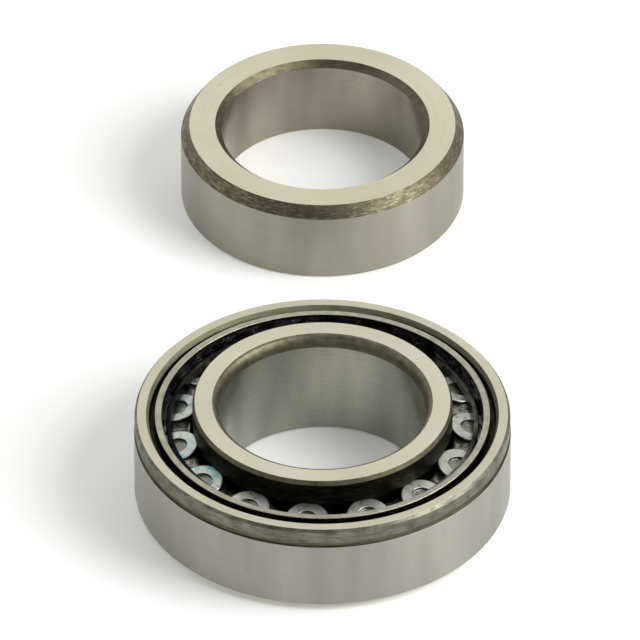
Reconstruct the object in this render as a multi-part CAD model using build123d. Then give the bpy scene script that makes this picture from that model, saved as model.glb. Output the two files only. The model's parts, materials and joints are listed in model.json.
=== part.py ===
"""Unitised tapered roller bearing for an axle shaft, with its press-on retaining ring.

Millimetres, +Z up. The bearing stands on the front face of its inner ring, with the origin on the
bearing axis at that face. The rollers' large ends point up. The retaining ring lies beside it.
"""
from build123d import *
from math import asin, cos, degrees, hypot, radians, sin, tan
import os

# Boundary dimensions of the bearing
BORE_R = 20.0
OUTER_R = 36.5
INNER_WIDTH = 22.5
OUTER_WIDTH = 18.3
OUTER_BASE_Z = 1.2
OUTER_TOP_Z = OUTER_BASE_Z + OUTER_WIDTH

# Rollers: the axis leans outwards, and it passes through the apex on the bearing axis
ROLLER_COUNT = 15
ROLLER_TILT = radians(12.0)
ROLLER_LENGTH = 12.5
ROLLER_END_R = 4.4
ROLLER_CORNER = 0.4
RECESS_R = 2.1
RECESS_DEPTH = 0.6
RECESS_FLOOR_ROUND = 0.2
ROLLER_PITCH_R = 28.9
ROLLER_END_Z = OUTER_TOP_Z - 3.2
RUNNING_CLEARANCE = 0.08

# Inner ring
INNER_RIB_R = 25.2
INNER_FACE_CHAMFER = 0.45
INNER_FACE_CHAMFER_HEIGHT = 0.9
BORE_ENTRY_RADIAL = 1.35
BORE_ENTRY_DEPTH = 2.5
BORE_EXIT_CHAMFER = 0.5
SMALL_RIB_R = 23.3
SMALL_RIB_CHAMFER = 0.6
SMALL_RIB_GAP = 0.35
RELIEF_DEPTH = 0.3
RELIEF_LENGTH = 0.7

# Outer ring
FACE_CORNER_RADIAL = 0.5
FACE_CORNER_HEIGHT = 0.6
FACE_CORNER_ROUND = 0.3
BAND_DROP = 0.1
GROOVE_TOP_DROP = 2.9
GROOVE_BASE_DROP = 4.0
GROOVE_R = 36.1
LIP_R = 34.15
LIP_HEIGHT = 1.0
COUNTERBORE_R = 33.6
OUTER_BASE_ROUND = 0.7

# Rib ring, pressed into the counterbore of the outer ring
RIB_RING_INNER_R = 31.1
RIB_RING_WALL_R = 32.5
RIB_RING_SEAT_R = 33.3
RIB_RING_FOOT_HEIGHT = 1.6
RIB_RING_TOP_DROP = 0.05
RIB_RING_ROUND = 0.25

# Cage: a stamped cone around the rollers, turned in at the small end
CAGE_INNER_OFFSET = 0.2
CAGE_SHEET = 1.05
CAGE_RIM_LENGTH = 1.3
CAGE_FLANGE_Z = 1.7
CAGE_FLANGE_R = 24.1
CAGE_BEND_R = 0.6
CAGE_EDGE_ROUND = 0.3
POCKET_CLEARANCE = 0.12

# Retaining ring and its place beside the bearing
RETAINER_R = 28.1
RETAINER_HEIGHT = 16.8
RETAINER_CHAMFER_RADIAL = 1.65
RETAINER_CHAMFER_HEIGHT = 2.4
RETAINER_BORE_CHAMFER = 1.3
RETAINER_BORE_CHAMFER_DEPTH = 1.2
RETAINER_BASE_ROUND = 0.6
RETAINER_Y = 96.0

# Roller cone: its half angle brings every generatrix to the apex
APEX_DISTANCE = ROLLER_PITCH_R / sin(ROLLER_TILT)
HALF_ANGLE = asin(ROLLER_END_R / hypot(APEX_DISTANCE, ROLLER_END_R))
OUTER_ANGLE = ROLLER_TILT + HALF_ANGLE
INNER_ANGLE = ROLLER_TILT - HALF_ANGLE


def roller_point(along, outward):
    """(radius, z) of a point given along the roller axis from its large end, and outwards from it."""
    radius = ROLLER_PITCH_R + along * sin(ROLLER_TILT) + outward * cos(ROLLER_TILT)
    height = ROLLER_END_Z + along * cos(ROLLER_TILT) - outward * sin(ROLLER_TILT)
    return radius, height


def end_plane_z(along, radius):
    """Height at a radius of the plane square to the roller axis, at a distance along the axis."""
    axis_r, axis_z = roller_point(along, 0)
    return axis_z - (radius - axis_r) * tan(ROLLER_TILT)


def raceway_r(z, side):
    """Raceway radius at a height: side is 1 for the outer ring's raceway and -1 for the inner's."""
    edge_r, edge_z = roller_point(0, side * ROLLER_END_R)
    angle = OUTER_ANGLE if side > 0 else INNER_ANGLE
    return edge_r + side * RUNNING_CLEARANCE / cos(angle) + (z - edge_z) * tan(angle)


def turned(outline):
    """Solid of revolution about Z from an outline drawn in the XZ plane."""
    return revolve(make_face(Plane.XZ * outline), Axis.Z)


def rounded(solid, radius_and_z, size):
    """Round the circular edges that pass through the given (radius, z) places."""
    edges = [solid.edges().sort_by_distance((radius, 0, z))[0] for radius, z in radius_and_z]
    return fillet(edges, size)


def make_inner_ring():
    top = INNER_WIDTH
    rib_face_z = end_plane_z(RUNNING_CLEARANCE, INNER_RIB_R)
    relief_r = raceway_r(rib_face_z - RELIEF_LENGTH, -1)
    small_face_along = -ROLLER_LENGTH - SMALL_RIB_GAP
    small_rib_z = end_plane_z(small_face_along, SMALL_RIB_R)
    race_end_r = raceway_r(small_rib_z, -1)
    race_end_z = end_plane_z(small_face_along, race_end_r)
    bore_edge = (BORE_R, top - BORE_ENTRY_DEPTH)
    face_edge = (BORE_R + BORE_ENTRY_RADIAL, top)
    outline = Polyline(
        face_edge,
        (INNER_RIB_R - INNER_FACE_CHAMFER, top),
        (INNER_RIB_R, top - INNER_FACE_CHAMFER_HEIGHT),
        (INNER_RIB_R, rib_face_z),
        (relief_r, end_plane_z(RUNNING_CLEARANCE, relief_r)),
        (relief_r - RELIEF_DEPTH, rib_face_z - RELIEF_LENGTH / 2),
        (relief_r, rib_face_z - RELIEF_LENGTH),
        (race_end_r, race_end_z),
        (SMALL_RIB_R, small_rib_z),
        (SMALL_RIB_R, SMALL_RIB_CHAMFER),
        (SMALL_RIB_R - SMALL_RIB_CHAMFER, 0),
        (BORE_R + BORE_EXIT_CHAMFER, 0),
        (BORE_R, BORE_EXIT_CHAMFER),
        bore_edge,
    )
    bore_entry = EllipticalCenterArc(
        (BORE_R + BORE_ENTRY_RADIAL, top - BORE_ENTRY_DEPTH),
        BORE_ENTRY_RADIAL,
        BORE_ENTRY_DEPTH,
        start_angle=90,
        arc_size=90,
    )
    return turned(outline + bore_entry)


def make_outer_ring():
    shoulder_z = end_plane_z(RUNNING_CLEARANCE, RIB_RING_SEAT_R)
    band_r = OUTER_R - BAND_DROP
    outline = Polyline(
        (LIP_R, OUTER_TOP_Z),
        (band_r - FACE_CORNER_RADIAL, OUTER_TOP_Z),
        (band_r, OUTER_TOP_Z - FACE_CORNER_HEIGHT),
        (band_r, OUTER_TOP_Z - GROOVE_TOP_DROP),
        (GROOVE_R, OUTER_TOP_Z - GROOVE_TOP_DROP),
        (GROOVE_R, OUTER_TOP_Z - GROOVE_BASE_DROP),
        (OUTER_R, OUTER_TOP_Z - GROOVE_BASE_DROP),
        (OUTER_R, OUTER_BASE_Z),
        (raceway_r(OUTER_BASE_Z, 1), OUTER_BASE_Z),
        (raceway_r(shoulder_z, 1), shoulder_z),
        (COUNTERBORE_R, shoulder_z),
        (COUNTERBORE_R, OUTER_TOP_Z - LIP_HEIGHT),
        close=True,
    )
    ring = turned(outline)
    ring = rounded(ring, [(OUTER_R, OUTER_BASE_Z)], OUTER_BASE_ROUND)
    corner = [(band_r, OUTER_TOP_Z - FACE_CORNER_HEIGHT)]
    return rounded(ring, corner, FACE_CORNER_ROUND)


def make_rib_ring():
    shoulder_z = end_plane_z(RUNNING_CLEARANCE, RIB_RING_SEAT_R)
    top = OUTER_TOP_Z - RIB_RING_TOP_DROP
    outline = Polyline(
        (RIB_RING_INNER_R, end_plane_z(RUNNING_CLEARANCE, RIB_RING_INNER_R)),
        (RIB_RING_SEAT_R, shoulder_z),
        (COUNTERBORE_R, shoulder_z),
        (COUNTERBORE_R, shoulder_z + RIB_RING_FOOT_HEIGHT),
        (RIB_RING_WALL_R, shoulder_z + RIB_RING_FOOT_HEIGHT),
        (RIB_RING_WALL_R, top),
        (RIB_RING_INNER_R, top),
        close=True,
    )
    return rounded(turned(outline), [(RIB_RING_WALL_R, top), (RIB_RING_INNER_R, top)], RIB_RING_ROUND)


def roller_profile(grow=0.0):
    """Half outline of a roller on its own axis, large end at z=0; grow gives the pocket's cutter."""
    slope = tan(HALF_ANGLE)
    top = grow
    base = -ROLLER_LENGTH - grow
    side = grow / cos(HALF_ANGLE)
    return (ROLLER_END_R + side + top * slope, top), (ROLLER_END_R + side + base * slope, base)


def make_roller():
    """One roller on its own axis: a cone frustum, with a round recess in its large end."""
    (large_r, top), (small_r, base) = roller_profile()
    outline = Polyline(
        (0, base),
        (small_r, base),
        (large_r, top),
        (RECESS_R, top),
        (RECESS_R, top - RECESS_DEPTH),
        (0, top - RECESS_DEPTH),
        close=True,
    )
    roller = rounded(turned(outline), [(large_r, top), (small_r, base)], ROLLER_CORNER)
    return rounded(roller, [(RECESS_R, top - RECESS_DEPTH)], RECESS_FLOOR_ROUND)


def make_pocket_cutter():
    (large_r, top), (small_r, base) = roller_profile(POCKET_CLEARANCE)
    return turned(Polyline((0, base), (small_r, base), (large_r, top), (0, top), close=True))


def seat_at_roller(shape, index):
    """Lean a shape from the roller's own axis over to its place round the bearing."""
    azimuth = 360 / ROLLER_COUNT * index
    seat = Location((ROLLER_PITCH_R, 0, ROLLER_END_Z), (0, degrees(ROLLER_TILT), 0))
    return Location((0, 0, 0), (0, 0, azimuth)) * seat * shape


def make_cage():
    outer_offset = CAGE_INNER_OFFSET + CAGE_SHEET
    rim_inner = roller_point(CAGE_RIM_LENGTH, CAGE_INNER_OFFSET)
    rim_outer = roller_point(CAGE_RIM_LENGTH, outer_offset)
    flange_top = CAGE_FLANGE_Z + CAGE_SHEET

    def shell_r(z, offset):
        axis_r, axis_z = roller_point(0, offset)
        return axis_r + (z - axis_z) * tan(ROLLER_TILT)

    inner_bend = (shell_r(flange_top, CAGE_INNER_OFFSET), flange_top)
    outer_bend = (shell_r(CAGE_FLANGE_Z, outer_offset), CAGE_FLANGE_Z)
    outline = Polyline(
        rim_inner,
        rim_outer,
        outer_bend,
        (CAGE_FLANGE_R, CAGE_FLANGE_Z),
        (CAGE_FLANGE_R, flange_top),
        inner_bend,
        close=True,
    )
    cage = turned(outline)
    cage = rounded(cage, [outer_bend], CAGE_BEND_R + CAGE_SHEET)
    cage = rounded(cage, [inner_bend], CAGE_BEND_R)
    cage = rounded(cage, [rim_inner, rim_outer], CAGE_EDGE_ROUND)
    cutter = make_pocket_cutter()
    for index in range(ROLLER_COUNT):
        cage -= seat_at_roller(cutter, index)
    return cage


def make_retaining_ring():
    outline = Polyline(
        (BORE_R + RETAINER_BORE_CHAMFER, RETAINER_HEIGHT),
        (RETAINER_R - RETAINER_CHAMFER_RADIAL, RETAINER_HEIGHT),
        (RETAINER_R, RETAINER_HEIGHT - RETAINER_CHAMFER_HEIGHT),
        (RETAINER_R, 0),
        (BORE_R, 0),
        (BORE_R, RETAINER_HEIGHT - RETAINER_BORE_CHAMFER_DEPTH),
        close=True,
    )
    ring = rounded(turned(outline), [(RETAINER_R, 0), (BORE_R, 0)], RETAINER_BASE_ROUND)
    return Location((0, RETAINER_Y, 0)) * ring


def main():
    os.makedirs("parts", exist_ok=True)
    nodes = {
        "inner_ring": make_inner_ring(),
        "outer_ring": make_outer_ring(),
        "rib_ring": make_rib_ring(),
        "roller_cage": make_cage(),
        "retaining_ring": make_retaining_ring(),
    }
    roller = make_roller()
    for index in range(ROLLER_COUNT):
        nodes[f"roller_{index + 1:02d}"] = seat_at_roller(roller, index)
    for name, shape in nodes.items():
        export_step(shape, f"parts/{name}.step")


main()
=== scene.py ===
import json
from math import asin, atan2, ceil, cos, pi, radians, sin, tan

import bpy
from mathutils import Matrix, Vector, noise


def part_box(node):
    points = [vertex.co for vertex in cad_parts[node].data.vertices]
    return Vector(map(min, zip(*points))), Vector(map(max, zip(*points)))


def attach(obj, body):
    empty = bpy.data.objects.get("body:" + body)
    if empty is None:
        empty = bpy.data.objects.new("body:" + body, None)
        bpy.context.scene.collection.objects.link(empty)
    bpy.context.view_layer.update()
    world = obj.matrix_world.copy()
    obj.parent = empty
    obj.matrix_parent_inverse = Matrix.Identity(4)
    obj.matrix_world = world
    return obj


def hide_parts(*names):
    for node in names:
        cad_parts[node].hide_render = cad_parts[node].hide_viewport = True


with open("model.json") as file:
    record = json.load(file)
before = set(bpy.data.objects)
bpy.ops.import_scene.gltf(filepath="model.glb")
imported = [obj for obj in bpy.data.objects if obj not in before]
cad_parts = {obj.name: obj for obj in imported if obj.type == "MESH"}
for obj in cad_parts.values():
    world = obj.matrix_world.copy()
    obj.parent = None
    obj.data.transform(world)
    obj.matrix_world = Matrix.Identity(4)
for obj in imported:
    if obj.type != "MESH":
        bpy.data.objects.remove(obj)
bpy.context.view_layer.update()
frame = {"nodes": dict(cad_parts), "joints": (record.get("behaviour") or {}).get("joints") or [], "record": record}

# A tapered roller bearing and the ring that holds it on its shaft. Pieces are worked out in mm and
# made in metres.

MM = 0.001
GOLDEN_ANGLE = radians(137.5)

# How finely the pieces are meshed. Beside each arc runs a straight support stretch, mm.
SEGMENTS = 288
ROLLER_SEGMENTS = 96
SMEAR_SEGMENTS = 720
ARC_STEP = radians(12)
FEWEST_ARC_STEPS = 3
ENTRY_STEPS = 14
SUPPORT = 0.05
AT_AXIS = 1e-6
TURNED_SHARP = radians(28)
GREASE_SHARP = radians(60)


# ---------------------------------------------------------------- sizes read from the frame, mm

def box_mm(node):
    low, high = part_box(node)
    return Vector(low) / MM, Vector(high) / MM


def joint(name):
    return next(j for j in frame["joints"] if j["name"] == name)


def mount(name):
    return next(m for m in frame["record"]["mounts"] if m["name"] == name)


BORE_R = mount("shaft_bore")["dims"]["r_mm"]
OUTER_LOW, OUTER_HIGH = box_mm("outer_ring")
OUTER_R = OUTER_HIGH.x
OUTER_BASE_Z = OUTER_LOW.z
OUTER_TOP_Z = OUTER_HIGH.z
INNER_HIGH = box_mm("inner_ring")[1]
INNER_RIB_R = INNER_HIGH.x
INNER_WIDTH = INNER_HIGH.z
RIB_RING_LOW, RIB_RING_HIGH = box_mm("rib_ring")
COUNTERBORE_R = RIB_RING_HIGH.x
SHOULDER_Z = RIB_RING_LOW.z
RIB_RING_TOP_Z = RIB_RING_HIGH.z
RETAINER_LOW, RETAINER_HIGH = box_mm("retaining_ring")
RETAINER_R = RETAINER_HIGH.x
RETAINER_HEIGHT = RETAINER_HIGH.z
RETAINER_Y = (RETAINER_LOW.y + RETAINER_HIGH.y) / 2

# Rollers: the length, the large end and the clearance are as the CAD has them. The rest comes from
# the first roller's joint, whose pivot is at the middle of the roller.
ROLLER_LENGTH = 12.5
ROLLER_END_R = 4.4
RUNNING_CLEARANCE = 0.08
ROLLER_COUNT = sum(name.startswith("roller_") and name != "roller_cage" for name in frame["nodes"])
FIRST_SPIN = joint("roller_01_spin")
FIRST_PIVOT = Vector(FIRST_SPIN["pos_m"]) / MM
ROLLER_TILT = asin(FIRST_SPIN["axis"][0])
PITCH_R = FIRST_PIVOT.x + ROLLER_LENGTH / 2 * sin(ROLLER_TILT)
ROLLER_END_Z = FIRST_PIVOT.z + ROLLER_LENGTH / 2 * cos(ROLLER_TILT)
HALF_ANGLE = atan2(ROLLER_END_R, PITCH_R / sin(ROLLER_TILT))
FIRST_AXIS = Vector((sin(ROLLER_TILT), 0, cos(ROLLER_TILT)))
FIRST_END = Vector((PITCH_R, 0, ROLLER_END_Z))


def end_plane_z(along, radius):
    """Height at a radius of the plane square to the roller axis, at a distance from its large end."""
    axis_r = PITCH_R + along * sin(ROLLER_TILT)
    axis_z = ROLLER_END_Z + along * cos(ROLLER_TILT)
    return axis_z - (radius - axis_r) * tan(ROLLER_TILT)


def raceway_r(z, side):
    """Raceway radius at a height: side is 1 for the outer ring and -1 for the inner ring."""
    angle = ROLLER_TILT + side * HALF_ANGLE
    edge_r = PITCH_R + side * ROLLER_END_R * cos(ROLLER_TILT)
    edge_z = ROLLER_END_Z - side * ROLLER_END_R * sin(ROLLER_TILT)
    return edge_r + side * RUNNING_CLEARANCE / cos(angle) + (z - edge_z) * tan(angle)


# Sizes that the frame doesn't give, as the CAD has them
BORE_ENTRY_RADIAL = 1.35
BORE_ENTRY_DEPTH = 2.5
BORE_EXIT_CHAMFER = 0.5
INNER_FACE_CHAMFER = 0.45
INNER_FACE_CHAMFER_HEIGHT = 0.9
SMALL_RIB_R = 23.3
SMALL_RIB_CHAMFER = 0.6
SMALL_RIB_GAP = 0.35
RELIEF_DEPTH = 0.3
RELIEF_LENGTH = 0.7
FACE_CORNER_RADIAL = 0.5
FACE_CORNER_HEIGHT = 0.6
BAND_DROP = 0.1
GROOVE_TOP_Z = OUTER_TOP_Z - 2.9
GROOVE_BASE_Z = OUTER_TOP_Z - 4.0
GROOVE_R = 36.1
LIP_R = 34.15
LIP_HEIGHT = 1.0
OUTER_BASE_ROUND = 0.7
RIB_RING_INNER_R = 31.1
RIB_RING_WALL_R = 32.5
RIB_RING_SEAT_R = 33.3
RIB_RING_FOOT_HEIGHT = 1.6
RIB_RING_ROUND = 0.25
RETAINER_CHAMFER_RADIAL = 1.65
RETAINER_CHAMFER_HEIGHT = 2.4
RETAINER_BORE_CHAMFER = 1.3
RETAINER_BORE_CHAMFER_DEPTH = 1.2
RETAINER_BASE_ROUND = 0.6
ROLLER_CORNER = 0.4
RECESS_R = 2.1
RECESS_DEPTH = 0.6
RECESS_FLOOR_ROUND = 0.2

# Roundings of edges that are only broken: slight, and a little more where the edge is worn
BROKEN_EDGE = 0.1
WORN_EDGE = 0.2

# Rollers whose ends carry a painted turquoise reflection, where the first roller is 0
REFLECTION_TINTED_ROLLERS = (7, 8, 9)

# Where on the cage the oil has run off: a shift of the pattern, mm
OIL_PATTERN = 30.0

# Grease between the rollers: sizes in mm, then how its lumps follow the radius and the way across
GREASE_INNER_R = 25.7
GREASE_OUTER_R = 30.9
GREASE_TOP_Z = ROLLER_END_Z - 0.3
GREASE_BASE_Z = ROLLER_END_Z - 3.6
GREASE_SAG = 0.9
GREASE_LUMPS = 0.22
GREASE_CLEARANCE = 0.12
GREASE_ROWS = 26
GREASE_COLUMNS = 18
CLEARANCE_HALVINGS = 20
LUMPS_PER_RADIUS = 0.5
LUMPS_PER_WIDTH = 1.3
LUMPS_APART = 7.3
LUMP_OCTAVES = 4

# Smears of grease on the rib ring's wall: sizes in mm, then how the pattern follows the wall
SMEAR_BASE_MARGIN = 0.3
SMEAR_TOP_MARGIN = 0.5
SMEAR_FADE = 0.5
SMEAR_DEPTH = 0.36
SMEAR_BIAS = 0.06
SMEAR_LIMIT = 0.34
SMEAR_SUNK = 0.03
SMEAR_BACK = 0.1
SMEAR_ROWS = 8
SMEAR_ROUND = 10.0
SMEAR_UPRIGHT = 0.7
SMEAR_OCTAVES = 5


# ---------------------------------------------------------------- mesh helpers

def round_corners(outline, closed=True):
    """Turn (r, z, rounding, finish) corners into (r, z, finish) points, with arcs for the roundings.

    A finish belongs to the stretch that follows its corner. A short support stretch beside each arc
    keeps the long faces flat in smooth shading.
    """
    points = []
    count = len(outline)
    for i, (r, z, size, finish) in enumerate(outline):
        corner = Vector((r, z))
        at_end = not closed and i in (0, count - 1)
        if not size or at_end:
            points.append((r, z, finish))
            continue
        finish_before = outline[i - 1][3]
        back = (Vector(outline[i - 1][:2]) - corner).normalized()
        ahead = (Vector(outline[(i + 1) % count][:2]) - corner).normalized()
        angle = back.angle(ahead)
        reach = size / tan(angle / 2)
        centre = corner + (back + ahead).normalized() * size / sin(angle / 2)
        spoke_in = corner + back * reach - centre
        spoke_out = corner + ahead * reach - centre
        steps = max(FEWEST_ARC_STEPS, ceil((pi - angle) / ARC_STEP))
        points.append((*(corner + back * (reach + SUPPORT)), finish_before))
        for k in range(steps + 1):
            spoke = spoke_in.lerp(spoke_out, k / steps).normalized() * size
            near_start = k < steps / 2
            points.append((*(centre + spoke), finish_before if near_start else finish))
        points.append((*(corner + ahead * (reach + SUPPORT)), finish))
    return points


def ellipse_corner(start, end, steps, finish):
    """Points of a quarter ellipse that leaves start level and reaches end upright."""
    points = []
    for k in range(steps + 1):
        angle = pi / 2 * k / steps
        r = start[0] + (end[0] - start[0]) * sin(angle)
        z = end[1] + (start[1] - end[1]) * cos(angle)
        points.append((r, z, 0, finish))
    return points


def smooth_mesh(name, verts, faces, slots, materials, sharp_angle):
    """Smooth mesh that stays sharp where two faces meet at more than the angle."""
    mesh = bpy.data.meshes.new(name)
    mesh.from_pydata(verts, [], faces)
    mesh.polygons.foreach_set("material_index", slots)
    mesh.polygons.foreach_set("use_smooth", [True] * len(faces))
    for material in materials:
        mesh.materials.append(material)
    mesh.validate()
    mesh.set_sharp_from_angle(angle=sharp_angle)
    mesh.update()
    return mesh


def lathe(name, points, finishes, closed=True, segments=SEGMENTS, shape=None):
    """Turned mesh in metres from (r, z, finish) points in mm. A point at r = 0 becomes one pole.

    shape(angle, r, z) may move a point, for turned work that isn't quite even.
    """
    verts = []
    rings = []
    for r, z, _ in points:
        if r < AT_AXIS:
            rings.append([len(verts)] * segments)
            verts.append((0, 0, z * MM))
            continue
        first = len(verts)
        rings.append(list(range(first, first + segments)))
        for j in range(segments):
            angle = 2 * pi * j / segments
            at_r, at_z = shape(angle, r, z) if shape else (r, z)
            verts.append((at_r * cos(angle) * MM, at_r * sin(angle) * MM, at_z * MM))
    faces = []
    slots = []
    order = list(finishes)
    spans = len(points) if closed else len(points) - 1
    for i in range(spans):
        near, far = rings[i], rings[(i + 1) % len(points)]
        slot = order.index(points[i][2])
        for j in range(segments):
            k = (j + 1) % segments
            corners = [near[j], near[k], far[k], far[j]]
            faces.append(list(dict.fromkeys(corners)))
            slots.append(slot)
    return smooth_mesh(name, verts, faces, slots, finishes.values(), TURNED_SHARP)


def add(name, data):
    """Put an object with this mesh, light or camera in the scene."""
    made = bpy.data.objects.new(name, data)
    bpy.context.scene.collection.objects.link(made)
    return made


def fractal(x, y, z, octaves):
    """Even noise round zero: each octave is twice as fine as the last and half as strong."""
    return noise.fractal(Vector((x, y, z)), 1.0, 2.0, octaves)


def fit(piece, body, slot, *nodes):
    """Put a piece on its body and hide the nodes it stands in for. The slot is not used."""
    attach(piece, body)
    if nodes:
        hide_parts(*nodes)


# ---------------------------------------------------------------- shader helpers

def linear(r, g, b):
    """A colour given in 0-255 display values, as linear RGBA."""
    def channel(value):
        v = value / 255
        return v / 12.92 if v <= 0.04045 else ((v + 0.055) / 1.055) ** 2.4
    return (channel(r), channel(g), channel(b), 1.0)


def feed(tree, target, value):
    """Give an input a socket to follow or a constant."""
    if isinstance(value, bpy.types.NodeSocket):
        tree.links.new(value, target)
    else:
        target.default_value = value


class Shader:
    """A node material with short calls for the nodes it needs. Its patterns are laid out in mm."""

    # What a height counts beside a radius in turned(), so that walls get tool marks as faces do
    HEIGHT_SHARE = 1.37

    def __init__(self, name, metallic=1.0, **constants):
        self.material = bpy.data.materials.new(name)
        self.material.use_nodes = True
        self.tree = self.material.node_tree
        self.bsdf = self.tree.nodes["Principled BSDF"]
        self.bsdf.inputs["Metallic"].default_value = metallic
        for key, value in constants.items():
            self.bsdf.inputs[key.replace("_", " ")].default_value = value
        coords = self.tree.nodes.new("ShaderNodeTexCoord")
        scale = self.tree.nodes.new("ShaderNodeVectorMath")
        scale.operation = "SCALE"
        scale.inputs["Scale"].default_value = 1 / MM
        self.link(coords.outputs["Object"], scale.inputs[0])
        self.place = scale.outputs[0]

    def link(self, source, target):
        self.tree.links.new(source, target)

    def feed(self, target, value):
        feed(self.tree, target, value)

    def maths(self, operation, a, b=0.0):
        made = self.tree.nodes.new("ShaderNodeMath")
        made.operation = operation
        self.feed(made.inputs[0], a)
        self.feed(made.inputs[1], b)
        return made.outputs[0]

    def split(self, vector):
        made = self.tree.nodes.new("ShaderNodeSeparateXYZ")
        self.link(vector, made.inputs[0])
        return made.outputs

    def join(self, x, y, z):
        made = self.tree.nodes.new("ShaderNodeCombineXYZ")
        for socket, value in zip(made.inputs, (x, y, z)):
            self.feed(socket, value)
        return made.outputs[0]

    def turned(self, around, across, shift=0.0):
        """Coordinates that change slowly round the axis and fast across the tool marks."""
        x, y, z = self.split(self.place)
        r = self.maths("SQRT", self.maths("ADD", self.maths("MULTIPLY", x, x), self.maths("MULTIPLY", y, y)))
        lane = self.maths("ADD", r, self.maths("MULTIPLY", z, self.HEIGHT_SHARE))
        lane = self.maths("MULTIPLY", self.maths("ADD", lane, shift), across)
        return self.join(self.maths("MULTIPLY", x, around), self.maths("MULTIPLY", y, around), lane)

    def noise(self, vector, detail, roughness, scale=1.0, distortion=0.0):
        made = self.tree.nodes.new("ShaderNodeTexNoise")
        self.link(vector, made.inputs["Vector"])
        made.inputs["Scale"].default_value = scale
        made.inputs["Detail"].default_value = detail
        made.inputs["Roughness"].default_value = roughness
        made.inputs["Distortion"].default_value = distortion
        return made.outputs["Fac"]

    def steps(self, factor, *stops):
        """Colour ramp through (position, colour) stops."""
        made = self.tree.nodes.new("ShaderNodeValToRGB")
        ramp = made.color_ramp
        ramp.elements[0].position, ramp.elements[0].color = stops[0]
        ramp.elements[1].position, ramp.elements[1].color = stops[-1]
        for position, colour in stops[1:-1]:
            ramp.elements.new(position).color = colour
        self.link(factor, made.inputs["Fac"])
        return made.outputs["Color"]

    def between(self, factor, low, high, out_low, out_high):
        """Map low..high to out_low..out_high, and hold the ends beyond."""
        made = self.tree.nodes.new("ShaderNodeMapRange")
        for socket, value in zip(made.inputs, (factor, low, high, out_low, out_high)):
            self.feed(socket, value)
        return made.outputs[0]

    def mix(self, factor, a, b):
        """Colour a where the factor is 0 and b where it is 1."""
        made = self.tree.nodes.new("ShaderNodeMix")
        made.data_type = "RGBA"
        self.feed(made.inputs["Factor"], factor)
        self.feed(made.inputs[6], a)
        self.feed(made.inputs[7], b)
        return made.outputs[2]

    def bump(self, height, strength, distance_mm):
        made = self.tree.nodes.new("ShaderNodeBump")
        made.inputs["Strength"].default_value = strength
        made.inputs["Distance"].default_value = distance_mm * MM
        self.link(height, made.inputs["Height"])
        self.link(made.outputs[0], self.bsdf.inputs["Normal"])

    def colour(self, value):
        self.feed(self.bsdf.inputs["Base Color"], value)

    def rough(self, value):
        self.feed(self.bsdf.inputs["Roughness"], value)


# ---------------------------------------------------------------- finishes

def face_steel(name, light, dark):
    """Ground end faces: bright cream steel with faint circular grinding marks and a few nicks."""
    s = Shader(name)
    marks = s.noise(s.turned(around=0.05, across=5.0), detail=4, roughness=0.6)
    clouds = s.noise(s.place, scale=0.05, detail=3, roughness=0.5)
    nicks = s.noise(s.place, scale=1.1, detail=3, roughness=0.6, distortion=0.5)
    tone = s.steps(clouds, (0.3, light), (0.7, dark))
    tone = s.mix(s.between(marks, 0.35, 0.65, 0.0, 0.2), tone, linear(186, 183, 162))
    s.colour(s.mix(s.between(nicks, 0.69, 0.74, 0.0, 0.45), tone, linear(138, 132, 108)))
    s.rough(s.between(marks, 0.3, 0.7, 0.36, 0.48))
    s.bump(marks, 0.2, 0.01)
    return s.material


def ground_steel(name, gloss, light, dark, shift=0.0):
    """Ground cylinders. The grinding lines run round them and smear reflections along the axis."""
    s = Shader(name, Anisotropic=0.75, Anisotropic_Rotation=0.25)
    lines = s.noise(s.turned(around=0.06, across=9.0, shift=shift), detail=5, roughness=0.65)
    zones = s.noise(s.turned(around=0.12, across=0.02, shift=shift), detail=2, roughness=0.5)
    pits = s.noise(s.place, scale=1.3, detail=2, roughness=0.4)
    base = s.steps(zones, (0.3, dark), (0.7, light))
    base = s.mix(s.between(lines, 0.35, 0.7, 0.0, 0.1), base, linear(122, 121, 114))
    s.colour(s.mix(s.between(pits, 0.73, 0.78, 0.0, 0.4), base, linear(92, 88, 78)))
    s.rough(s.between(lines, 0.3, 0.7, *gloss))
    s.bump(lines, 0.08, 0.01)
    return s.material


def turned_steel(name, light, dark, scratched):
    """Lathe-turned chamfers: dark brown grey, with short bright scratches along the cut."""
    s = Shader(name)
    ridges = s.noise(s.turned(around=0.3, across=5.0), detail=5, roughness=0.7)
    stains = s.noise(s.place, scale=0.45, detail=4, roughness=0.6)
    scratches = s.noise(s.turned(around=0.55, across=6.5), detail=4, roughness=0.7, distortion=0.4)
    base = s.steps(stains, (0.3, dark), (0.7, light))
    base = s.mix(s.between(ridges, 0.4, 0.7, 0.0, 0.45), base, linear(74, 69, 52))
    s.colour(s.mix(s.between(scratches, 0.52, 0.66, 0.0, scratched), base, linear(178, 173, 149)))
    s.rough(s.between(scratches, 0.35, 0.65, 0.55, 0.44))
    s.bump(scratches, 0.4 * scratched, 0.05)
    return s.material


def band_steel():
    """Unground top band of the outer ring: dark olive grey with scratches, stains and bare spots."""
    s = Shader("band_steel")
    scratches = s.noise(s.turned(around=0.35, across=2.2), detail=6, roughness=0.72, distortion=0.6)
    stains = s.noise(s.place, scale=0.22, detail=4, roughness=0.6)
    bare = s.noise(s.turned(around=0.8, across=1.1), detail=5, roughness=0.7, distortion=1.2)
    base = s.steps(stains, (0.3, linear(96, 95, 78)), (0.7, linear(136, 136, 122)))
    base = s.mix(s.between(scratches, 0.45, 0.7, 0.0, 0.8), base, linear(56, 54, 42))
    s.colour(s.mix(s.between(bare, 0.62, 0.72, 0.0, 0.3), base, linear(150, 148, 133)))
    s.rough(s.between(scratches, 0.3, 0.7, 0.42, 0.58))
    s.bump(scratches, 0.6, 0.03)
    return s.material


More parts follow.
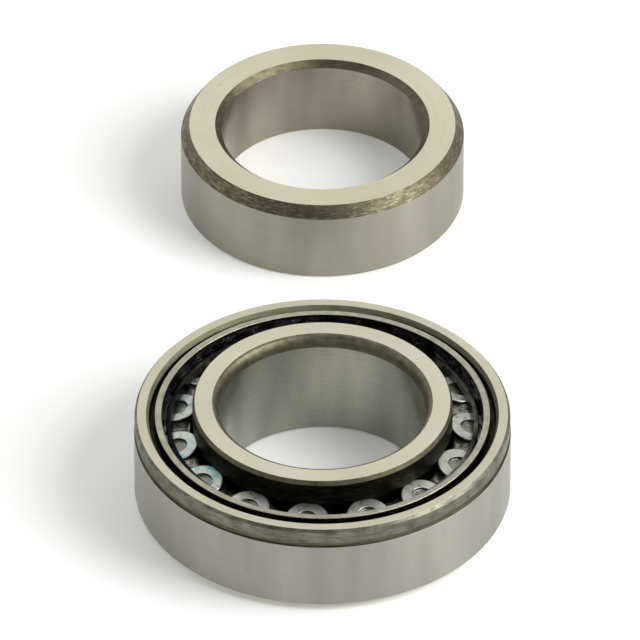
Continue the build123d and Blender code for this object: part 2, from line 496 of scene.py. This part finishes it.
def groove_steel():
    """Floor and walls of the relief groove: dark olive, left as turned."""
    s = Shader("groove_steel")
    ridges = s.noise(s.turned(around=0.2, across=5.0), detail=4, roughness=0.6)
    s.colour(s.steps(ridges, (0.3, linear(66, 63, 48)), (0.75, linear(128, 125, 106))))
    s.rough(0.5)
    s.bump(ridges, 0.5, 0.02)
    return s.material


def lip_steel():
    """Chamfer round the counterbore: dull grey olive, with oil dried into it."""
    s = Shader("lip_steel", metallic=0.85)
    film = s.noise(s.turned(around=0.3, across=1.5), detail=4, roughness=0.6)
    s.colour(s.steps(film, (0.3, linear(116, 116, 90)), (0.7, linear(152, 152, 126))))
    s.rough(s.between(film, 0.3, 0.7, 0.6, 0.72))
    s.bump(film, 0.4, 0.02)
    return s.material


def edge_steel():
    """Top edge of the rib ring: bright, worn duller than the ground faces."""
    s = Shader("edge_steel")
    marks = s.noise(s.turned(around=0.12, across=4.0), detail=5, roughness=0.65)
    wear = s.noise(s.place, scale=0.5, detail=4, roughness=0.6)
    tone = s.steps(wear, (0.35, linear(192, 190, 172)), (0.7, linear(160, 159, 141)))
    s.colour(s.mix(s.between(marks, 0.4, 0.7, 0.0, 0.45), tone, linear(132, 130, 112)))
    s.rough(s.between(marks, 0.3, 0.7, 0.40, 0.52))
    s.bump(marks, 0.35, 0.015)
    return s.material


def blackened_steel():
    """Walls that no grinding reached, under old grease: near black and dull. The near black is partly the grease
    and partly painted shade for the gaps and hollows these walls stand in.
    """
    s = Shader("blackened_steel")
    film = s.noise(s.turned(around=0.4, across=1.2), detail=5, roughness=0.65, distortion=0.6)
    # Near-black tones: partly grease, partly painted shade
    s.colour(s.steps(film, (0.35, linear(24, 22, 15)), (0.6, linear(48, 45, 35)),
                     (0.78, linear(96, 93, 82))))
    s.rough(s.between(film, 0.3, 0.7, 0.38, 0.6))
    s.bump(film, 0.5, 0.04)
    return s.material


def raceway_steel():
    """Ground running surfaces under a film of clear oil."""
    s = Shader("raceway_steel", Coat_Weight=0.4, Coat_Roughness=0.12)
    film = s.noise(s.place, scale=0.5, detail=5, roughness=0.6, distortion=0.8)
    s.colour(s.steps(film, (0.35, linear(70, 70, 70)), (0.72, linear(122, 122, 120))))
    s.rough(s.between(film, 0.3, 0.7, 0.22, 0.42))
    s.bump(film, 0.35, 0.03)
    return s.material


def roller_end_steel(name, *tints):
    """Ground roller ends: off-white and scratched, with the given tints in patches: a painted greenish reflection,
    turquoise on the tinted rollers.
    """
    s = Shader(name)
    x, y, z = s.split(s.place)
    stretched = s.join(s.maths("MULTIPLY", x, 0.6), s.maths("MULTIPLY", y, 4.0), z)
    scratches = s.noise(stretched, detail=5, roughness=0.7, distortion=0.4)
    grime = s.noise(s.place, scale=0.7, detail=4, roughness=0.65, distortion=0.8)
    # The tints are painted reflection
    base = s.steps(s.noise(s.place, scale=0.33, detail=3, roughness=0.55), *tints)
    base = s.mix(s.between(scratches, 0.5, 0.75, 0.0, 0.5), base, linear(134, 134, 122))
    s.colour(s.mix(s.between(grime, 0.56, 0.68, 0.0, 0.75), base, linear(70, 72, 70)))
    s.rough(s.between(scratches, 0.3, 0.7, 0.28, 0.46))
    s.bump(scratches, 0.3, 0.015)
    return s.material


def recess_steel():
    """Forged recess in a roller's end: grey, dark where the oil has pooled."""
    s = Shader("recess_steel", Coat_Weight=0.3, Coat_Roughness=0.12)
    film = s.noise(s.place, scale=0.7, detail=4, roughness=0.6)
    s.colour(s.steps(film, (0.3, linear(104, 106, 98)), (0.7, linear(170, 171, 159))))
    s.rough(0.4)
    s.bump(film, 0.5, 0.05)
    return s.material


def cage_sheet():
    """Pressed sheet of the cage: under black oil, and bare grey where the oil has run off."""
    s = Shader("cage_sheet")
    x, y, z = s.split(s.place)
    runs = s.noise(s.join(s.maths("ADD", x, OIL_PATTERN), y, z), scale=0.04, detail=1, roughness=0.4)
    film = s.noise(s.place, scale=0.35, detail=5, roughness=0.6, distortion=1.0)
    oily = s.steps(film, (0.3, linear(9, 7, 11)), (0.55, linear(21, 17, 27)), (0.75, linear(46, 42, 54)))
    bare = s.steps(film, (0.3, linear(66, 64, 64)), (0.7, linear(128, 126, 118)))
    s.colour(s.mix(s.between(runs, 0.5, 0.58, 0.0, 1.0), oily, bare))
    s.rough(s.between(film, 0.3, 0.7, 0.35, 0.5))
    s.bump(film, 0.5, 0.06)
    return s.material


def web_film():
    """Oil drawn across the gaps between rollers: smooth and grey as the metal under it."""
    s = Shader("web_film", metallic=0.95, Coat_Weight=0.3, Coat_Roughness=0.1)
    pools = s.noise(s.place, scale=0.16, detail=3, roughness=0.5, distortion=0.4)
    threads = s.noise(s.place, scale=0.6, detail=4, roughness=0.6, distortion=2.4)
    base = s.steps(pools, (0.36, linear(58, 55, 58)), (0.5, linear(128, 126, 118)),
                   (0.66, linear(172, 170, 156)))
    s.colour(s.mix(s.between(threads, 0.60, 0.65, 0.0, 0.8), base, linear(16, 14, 20)))
    s.rough(s.between(pools, 0.3, 0.7, 0.24, 0.36))
    s.bump(pools, 0.4, 0.1)
    return s.material


def grease_film():
    """Used grease: black with a purple cast and a few pale threads drawn out in it; the pale threads are painted
    highlights.
    """
    s = Shader("grease_film", metallic=0.0, Coat_Weight=0.5, Coat_Roughness=0.1)
    lumps = s.noise(s.place, scale=0.6, detail=4, roughness=0.55, distortion=1.0)
    threads = s.noise(s.place, scale=0.5, detail=3, roughness=0.55, distortion=2.4)
    base = s.steps(lumps, (0.35, linear(12, 9, 12)), (0.7, linear(40, 32, 50)))
    # Pale threads: painted highlights on strings of grease
    s.colour(s.mix(s.between(threads, 0.62, 0.68, 0.0, 0.4), base, linear(150, 144, 158)))
    s.rough(s.between(lumps, 0.3, 0.7, 0.25, 0.45))
    s.bump(lumps, 0.6, 0.2)
    return s.material


def floor_paper():
    """Pale seamless paper, a little light coming through it."""
    s = Shader("floor_paper", metallic=0.0, Roughness=0.9, Emission_Color=(1, 1, 0.99, 1),
               Emission_Strength=0.17)
    fibre = s.noise(s.place, scale=0.02, detail=2, roughness=0.5)
    s.colour(s.steps(fibre, (0.3, (0.86, 0.86, 0.85, 1)), (0.7, (0.88, 0.88, 0.87, 1))))
    return s.material


FACE = face_steel("face_steel", linear(219, 215, 195), linear(206, 202, 180))
OUTER_FACE = face_steel("outer_face_steel", linear(214, 210, 189), linear(201, 197, 175))
GROUND = ground_steel("ground_outside_steel", (0.34, 0.46), linear(164, 163, 156), linear(148, 147, 140))
BORE = ground_steel("ground_bore_steel", (0.22, 0.34), linear(184, 182, 169), linear(144, 147, 140),
                    shift=40.0)
BORE_ENTRY = turned_steel("bore_entry_steel", linear(131, 127, 107), linear(91, 87, 70), scratched=0.15)
BEVEL = turned_steel("bevel_steel", linear(112, 107, 86), linear(76, 72, 55), scratched=0.12)
RETAINER_FACE = face_steel("retainer_face_steel", linear(222, 217, 193), linear(209, 205, 180))
RETAINER_GROUND = ground_steel("retainer_outside_steel", (0.34, 0.46), linear(163, 160, 147),
                               linear(149, 146, 133))
RETAINER_BORE = ground_steel("retainer_bore_steel", (0.22, 0.34), linear(174, 168, 152),
                             linear(138, 133, 119), shift=80.0)
RETAINER_CHAMFER = turned_steel("retainer_chamfer_steel", linear(117, 111, 89), linear(82, 77, 60),
                                scratched=0.5)
RETAINER_ENTRY = turned_steel("retainer_entry_steel", linear(117, 111, 90), linear(81, 76, 59),
                              scratched=0.3)
BAND = band_steel()
GROOVE = groove_steel()
LIP = lip_steel()
EDGE = edge_steel()
# Near black: grease on these walls, with painted shade laid into the colour
GREASE_AND_SHADE = blackened_steel()
RACEWAY = raceway_steel()
ROLLER_END = roller_end_steel("roller_end_steel", (0.35, linear(214, 211, 196)),
                              (0.65, linear(181, 188, 180)))
# Roller ends with a strong painted turquoise reflection
REFLECTION_TINTED_END = roller_end_steel("stained_roller_end_steel", (0.42, linear(214, 212, 199)),
                               (0.54, linear(190, 206, 201)), (0.66, linear(130, 184, 194)))
RECESS = recess_steel()
CAGE = cage_sheet()
WEB = web_film()
GREASE = grease_film()


# ---------------------------------------------------------------- pieces

def make_inner_ring():
    rib_face_z = end_plane_z(RUNNING_CLEARANCE, INNER_RIB_R)
    relief_base_z = rib_face_z - RELIEF_LENGTH
    relief_r = raceway_r(relief_base_z, -1)
    small_face_along = -ROLLER_LENGTH - SMALL_RIB_GAP
    small_rib_z = end_plane_z(small_face_along, SMALL_RIB_R)
    race_end_r = raceway_r(small_rib_z, -1)
    race_end_z = end_plane_z(small_face_along, race_end_r)
    entry_top = (BORE_R + BORE_ENTRY_RADIAL, INNER_WIDTH)
    entry_base = (BORE_R, INNER_WIDTH - BORE_ENTRY_DEPTH)
    entry = ellipse_corner(entry_top, entry_base, ENTRY_STEPS, "entry")
    entry[-1] = (*entry[-1][:3], "bore")
    outline = [
        (BORE_R, BORE_EXIT_CHAMFER, BROKEN_EDGE, "turned"),
        (BORE_R + BORE_EXIT_CHAMFER, 0, BROKEN_EDGE, "face"),
        (SMALL_RIB_R - SMALL_RIB_CHAMFER, 0, BROKEN_EDGE, "turned"),
        (SMALL_RIB_R, SMALL_RIB_CHAMFER, BROKEN_EDGE, "black"),
        (SMALL_RIB_R, small_rib_z, BROKEN_EDGE, "black"),
        (race_end_r, race_end_z, 0, "raceway"),
        (relief_r, relief_base_z, BROKEN_EDGE / 2, "black"),
        (relief_r - RELIEF_DEPTH, rib_face_z - RELIEF_LENGTH / 2, BROKEN_EDGE / 2, "black"),
        (relief_r, end_plane_z(RUNNING_CLEARANCE, relief_r), BROKEN_EDGE / 2, "black"),
        (INNER_RIB_R, rib_face_z, BROKEN_EDGE, "black"),
        (INNER_RIB_R, INNER_WIDTH - INNER_FACE_CHAMFER_HEIGHT, WORN_EDGE, "bevel"),
        (INNER_RIB_R - INNER_FACE_CHAMFER, INNER_WIDTH, BROKEN_EDGE, "face"),
    ]
    finishes = {"face": FACE, "turned": BORE_ENTRY, "entry": BORE_ENTRY, "bevel": BEVEL,
                "black": GREASE_AND_SHADE, "raceway": RACEWAY, "bore": BORE}
    mesh = lathe("inner_ring_steel", round_corners(outline + entry), finishes)
    fit(add("inner_ring_steel", mesh), "inner_body", "inner_ring_steel", "inner_ring")


def make_outer_ring():
    band_r = OUTER_R - BAND_DROP
    outline = [
        (LIP_R, OUTER_TOP_Z, BROKEN_EDGE, "face"),
        (band_r - FACE_CORNER_RADIAL, OUTER_TOP_Z, WORN_EDGE, "band"),
        (band_r, OUTER_TOP_Z - FACE_CORNER_HEIGHT, FACE_CORNER_HEIGHT / 2, "band"),
        (band_r, GROOVE_TOP_Z, BROKEN_EDGE, "groove"),
        (GROOVE_R, GROOVE_TOP_Z, BROKEN_EDGE, "groove"),
        (GROOVE_R, GROOVE_BASE_Z, BROKEN_EDGE, "groove"),
        (OUTER_R, GROOVE_BASE_Z, BROKEN_EDGE, "ground"),
        (OUTER_R, OUTER_BASE_Z, OUTER_BASE_ROUND, "face"),
        (raceway_r(OUTER_BASE_Z, 1), OUTER_BASE_Z, WORN_EDGE, "raceway"),
        (raceway_r(SHOULDER_Z, 1), SHOULDER_Z, 0, "black"),
        (COUNTERBORE_R, SHOULDER_Z, 0, "black"),
        (COUNTERBORE_R, OUTER_TOP_Z - LIP_HEIGHT, BROKEN_EDGE, "lip"),
    ]
    finishes = {"face": OUTER_FACE, "band": BAND, "groove": GROOVE, "ground": GROUND, "raceway": RACEWAY,
                "black": GREASE_AND_SHADE, "lip": LIP}
    mesh = lathe("outer_ring_steel", round_corners(outline), finishes)
    fit(add("outer_ring_steel", mesh), "outer_body", "outer_ring_steel", "outer_ring")


def make_rib_ring():
    foot_top_z = SHOULDER_Z + RIB_RING_FOOT_HEIGHT
    outline = [
        (RIB_RING_INNER_R, end_plane_z(RUNNING_CLEARANCE, RIB_RING_INNER_R), BROKEN_EDGE, "black"),
        (RIB_RING_INNER_R, RIB_RING_TOP_Z, RIB_RING_ROUND, "edge"),
        (RIB_RING_WALL_R, RIB_RING_TOP_Z, RIB_RING_ROUND, "black"),
        (RIB_RING_WALL_R, foot_top_z, WORN_EDGE, "black"),
        (COUNTERBORE_R, foot_top_z, BROKEN_EDGE, "black"),
        (COUNTERBORE_R, SHOULDER_Z, BROKEN_EDGE, "black"),
        (RIB_RING_SEAT_R, SHOULDER_Z, 0, "black"),
    ]
    mesh = lathe("rib_ring_steel", round_corners(outline), {"black": GREASE_AND_SHADE, "edge": EDGE})
    fit(add("rib_ring_steel", mesh), "outer_body", "rib_ring_steel", "rib_ring")


def make_retaining_ring():
    chamfer_z = RETAINER_HEIGHT - RETAINER_CHAMFER_HEIGHT
    bore_chamfer_z = RETAINER_HEIGHT - RETAINER_BORE_CHAMFER_DEPTH
    outline = [
        (BORE_R, 0, RETAINER_BASE_ROUND, "face"),
        (RETAINER_R, 0, RETAINER_BASE_ROUND, "ground"),
        (RETAINER_R, chamfer_z, WORN_EDGE, "turned"),
        (RETAINER_R - RETAINER_CHAMFER_RADIAL, RETAINER_HEIGHT, WORN_EDGE, "face"),
        (BORE_R + RETAINER_BORE_CHAMFER, RETAINER_HEIGHT, WORN_EDGE, "entry"),
        (BORE_R, bore_chamfer_z, WORN_EDGE, "bore"),
    ]
    finishes = {"face": RETAINER_FACE, "ground": RETAINER_GROUND, "turned": RETAINER_CHAMFER,
                "entry": RETAINER_ENTRY, "bore": RETAINER_BORE}
    mesh = lathe("retaining_ring_steel", round_corners(outline), finishes)
    piece = add("retaining_ring_steel", mesh)
    piece.location = (0, RETAINER_Y * MM, 0)
    fit(piece, "retainer_body", "retaining_ring_steel", "retaining_ring")


def roller_mesh(name, end):
    """A roller on the Z axis with its large end up and the middle of its length at the origin."""
    half = ROLLER_LENGTH / 2
    small_r = ROLLER_END_R - ROLLER_LENGTH * tan(HALF_ANGLE)
    outline = [
        (0, -half, 0, "end"),
        (small_r, -half, ROLLER_CORNER, "flank"),
        (ROLLER_END_R, half, ROLLER_CORNER, "end"),
        (RECESS_R, half, BROKEN_EDGE, "recess"),
        (RECESS_R, half - RECESS_DEPTH, RECESS_FLOOR_ROUND, "recess"),
        (0, half - RECESS_DEPTH, 0, "recess"),
    ]
    finishes = {"end": end, "flank": RACEWAY, "recess": RECESS}
    points = round_corners(outline, closed=False)
    return lathe(name, points, finishes, closed=False, segments=ROLLER_SEGMENTS)


def make_rollers():
    """The rollers, each turned about its own axis so that their patterns don't line up."""
    plain = roller_mesh("roller_mesh", ROLLER_END)
    reflection_tinted = roller_mesh("stained_roller_mesh", REFLECTION_TINTED_END)
    for index in range(ROLLER_COUNT):
        name = f"roller_{index + 1:02d}"
        spin = joint(f"{name}_spin")
        lean = Vector((0, 0, 1)).rotation_difference(Vector(spin["axis"])).to_matrix().to_4x4()
        turn = Matrix.Rotation(GOLDEN_ANGLE * index, 4, "Z")
        piece = add(f"{name}_steel", reflection_tinted if index in REFLECTION_TINTED_ROLLERS else plain)
        piece.matrix_world = Matrix.Translation(spin["pos_m"]) @ lean @ turn
        fit(piece, f"{name}_body", "roller_steel", name)


def clear_azimuth(r, z):
    """Azimuth from a roller's own at which a point at this radius and height just clears it."""
    low = 0.0
    high = pi / ROLLER_COUNT
    for _ in range(CLEARANCE_HALVINGS):
        middle = (low + high) / 2
        offset = Vector((r * cos(middle), r * sin(middle), z)) - FIRST_END
        along = offset.dot(FIRST_AXIS)
        gap = (offset - along * FIRST_AXIS).length
        if gap > ROLLER_END_R + along * tan(HALF_ANGLE) + GREASE_CLEARANCE:
            high = middle
        else:
            low = middle
    return high


def grease_height(r, across, index):
    """Height of the grease between two rollers: it hangs between them and is drawn up in lumps."""
    lumps = fractal(r * LUMPS_PER_RADIUS, across * LUMPS_PER_WIDTH, index * LUMPS_APART, LUMP_OCTAVES)
    sag = GREASE_SAG * (1 - across * across)
    return GREASE_TOP_Z - sag + GREASE_LUMPS * lumps


def make_grease():
    """One lump of grease in each gap between rollers, carried round on the cage."""
    verts = []
    faces = []
    rows, columns = GREASE_ROWS, GREASE_COLUMNS
    for index in range(ROLLER_COUNT):
        middle = (index + 0.5) * 2 * pi / ROLLER_COUNT
        first = len(verts)
        for on_top in (True, False):
            for i in range(rows + 1):
                r = GREASE_INNER_R + (GREASE_OUTER_R - GREASE_INNER_R) * i / rows
                for j in range(columns + 1):
                    across = 2 * j / columns - 1
                    z = grease_height(r, across, index) if on_top else GREASE_BASE_Z
                    half = pi / ROLLER_COUNT - clear_azimuth(r, z)
                    angle = middle + half * across
                    verts.append((r * cos(angle) * MM, r * sin(angle) * MM, z * MM))
        faces += slab_faces(first, rows, columns)
    mesh = smooth_mesh("grease", verts, faces, [0] * len(faces), [WEB], GREASE_SHARP)
    fit(add("grease", mesh), "cage_body", "cage_steel")


def make_wall_grease():
    """Smears of grease on the rib ring's inner wall. Where there are none, the film is in the metal's colour,
    together with painted shade.
    """
    low = end_plane_z(RUNNING_CLEARANCE, RIB_RING_INNER_R) + SMEAR_BASE_MARGIN
    high = RIB_RING_TOP_Z - SMEAR_TOP_MARGIN
    back_r = RIB_RING_INNER_R + SMEAR_BACK
    points = [(back_r, high, "grease"), (back_r, low, "grease")]
    for i in range(SMEAR_ROWS + 1):
        points.append((RIB_RING_INNER_R, low + (high - low) * i / SMEAR_ROWS, "grease"))

    def smear(angle, r, z):
        if r > RIB_RING_INNER_R:
            return r, z
        pattern = fractal(cos(angle) * SMEAR_ROUND, sin(angle) * SMEAR_ROUND, z * SMEAR_UPRIGHT,
                          SMEAR_OCTAVES)
        thick = max(0.0, min(pattern * SMEAR_DEPTH + SMEAR_BIAS, SMEAR_LIMIT))
        edge = min(1.0, (z - low) / SMEAR_FADE, (high - z) / SMEAR_FADE)
        return r + SMEAR_SUNK - thick * edge, z

    mesh = lathe("wall_grease", points, {"grease": GREASE}, segments=SMEAR_SEGMENTS, shape=smear)
    fit(add("wall_grease", mesh), "outer_body", "cage_steel")


def slab_faces(first, rows, columns):
    """Faces of a closed slab: a top grid of points, then a base grid in the same order."""
    width = columns + 1
    base = first + (rows + 1) * width
    faces = []
    for i in range(rows):
        for j in range(columns):
            k = i * width + j
            faces.append((first + k, first + k + width, first + k + width + 1, first + k + 1))
            faces.append((base + k, base + k + 1, base + k + width + 1, base + k + width))
    rim = list(range(columns))
    rim += [i * width + columns for i in range(rows)]
    rim += [rows * width + j for j in range(columns, 0, -1)]
    rim += [i * width for i in range(rows, 0, -1)]
    for k, here in enumerate(rim):
        ahead = rim[(k + 1) % len(rim)]
        faces.append((first + here, first + ahead, base + ahead, base + here))
    return faces


def finish_cage():
    """The cage keeps its CAD mesh and gets a finish of its own."""
    cage = frame["nodes"]["roller_cage"]
    cage.data.materials.clear()
    cage.data.materials.append(CAGE)


# ---------------------------------------------------------------- stage, light and camera, m

FLOOR_REACH = 6.0
WORLD_STRENGTH = 0.95
KEY_WATTS = 6.5
KEY_PLACE = (0.60, -0.16, 0.50)
KEY_AIM = (0, 0.04, 0)
KEY_SIZE = (0.55, 0.6)

# Darker parts of the room: where they are seen from the bearing, the angles in degrees where each is
# full and where it ends, and the share of light it keeps
DIM_ZONES = [
    ((0, -0.62, 0.78), 14, 50, 0.10),
    ((-0.5, -0.55, 0.55), 10, 35, 0.6),
    ((0.75, 0.5, 0.22), 15, 45, 0.38),
]

# The camera looks along +Y and down. The middle of its picture lies off the middle of the outer
# ring's face, by a shift to the side and a rise.
CAMERA_DISTANCE = 3.0
CAMERA_ELEVATION = radians(38.0)
PICTURE_WIDTH = 0.12384
PICTURE_SHIFT = -0.00048
PICTURE_RISE = 0.01805
SENSOR_MM = 36.0


def make_floor():
    corners = [(-1, -1), (1, -1), (1, 1), (-1, 1)]
    mesh = bpy.data.meshes.new("floor")
    mesh.from_pydata([(x * FLOOR_REACH, y * FLOOR_REACH, 0) for x, y in corners], [], [(0, 1, 2, 3)])
    mesh.materials.append(floor_paper())
    floor = add("floor", mesh)


def area_light(name, place, aim, size, power):
    data = bpy.data.lights.new(name, "AREA")
    data.shape = "RECTANGLE"
    data.size, data.size_y = size
    data.energy = power
    light = add(name, data)
    light.location = place
    light.rotation_euler = (Vector(aim) - Vector(place)).to_track_quat("-Z", "Y").to_euler()


def dimmer(tree, direction, aim, near, far, keep):
    """World factor that falls to keep inside the angle near round aim, and is 1 beyond far."""
    dot = tree.nodes.new("ShaderNodeVectorMath")
    dot.operation = "DOT_PRODUCT"
    tree.links.new(direction, dot.inputs[0])
    dot.inputs[1].default_value = Vector(aim).normalized()
    fall = tree.nodes.new("ShaderNodeMapRange")
    fall.interpolation_type = "SMOOTHSTEP"
    tree.links.new(dot.outputs["Value"], fall.inputs[0])
    for socket, value in zip(fall.inputs[1:5], (cos(radians(far)), cos(radians(near)), 1.0, keep)):
        socket.default_value = value
    return fall.outputs[0]


def make_light():
    """Soft white room, dimmed in its darker parts, with a softbox on the right."""
    world = bpy.data.worlds.new("studio")
    bpy.context.scene.world = world
    world.use_nodes = True
    tree = world.node_tree
    background = tree.nodes["Background"]
    background.inputs["Color"].default_value = (1.0, 1.0, 0.99, 1)
    direction = tree.nodes.new("ShaderNodeTexCoord").outputs["Generated"]
    strength = WORLD_STRENGTH
    for aim, near, far, keep in DIM_ZONES:
        darker = tree.nodes.new("ShaderNodeMath")
        darker.operation = "MULTIPLY"
        tree.links.new(dimmer(tree, direction, aim, near, far, keep), darker.inputs[0])
        feed(tree, darker.inputs[1], strength)
        strength = darker.outputs[0]
    tree.links.new(strength, background.inputs["Strength"])
    area_light("key", KEY_PLACE, KEY_AIM, KEY_SIZE, KEY_WATTS)
    bpy.context.scene.view_settings.view_transform = "Standard"


def make_camera():
    data = bpy.data.cameras.new("camera")
    data.sensor_width = SENSOR_MM
    data.lens = data.sensor_width * CAMERA_DISTANCE / PICTURE_WIDTH
    data.clip_start = 0.1
    data.clip_end = 20.0
    camera = add("camera", data)
    bpy.context.scene.camera = camera
    up = Vector((0, sin(CAMERA_ELEVATION), cos(CAMERA_ELEVATION)))
    back = Vector((0, -cos(CAMERA_ELEVATION), sin(CAMERA_ELEVATION)))
    target = Vector((PICTURE_SHIFT, 0, OUTER_TOP_Z * MM)) + up * PICTURE_RISE
    camera.location = target + back * CAMERA_DISTANCE
    camera.rotation_euler = (pi / 2 - CAMERA_ELEVATION, 0, 0)


make_camera()
make_light()
make_floor()
make_outer_ring()
make_rib_ring()
make_inner_ring()
make_retaining_ring()
make_rollers()
finish_cage()
make_grease()
make_wall_grease()
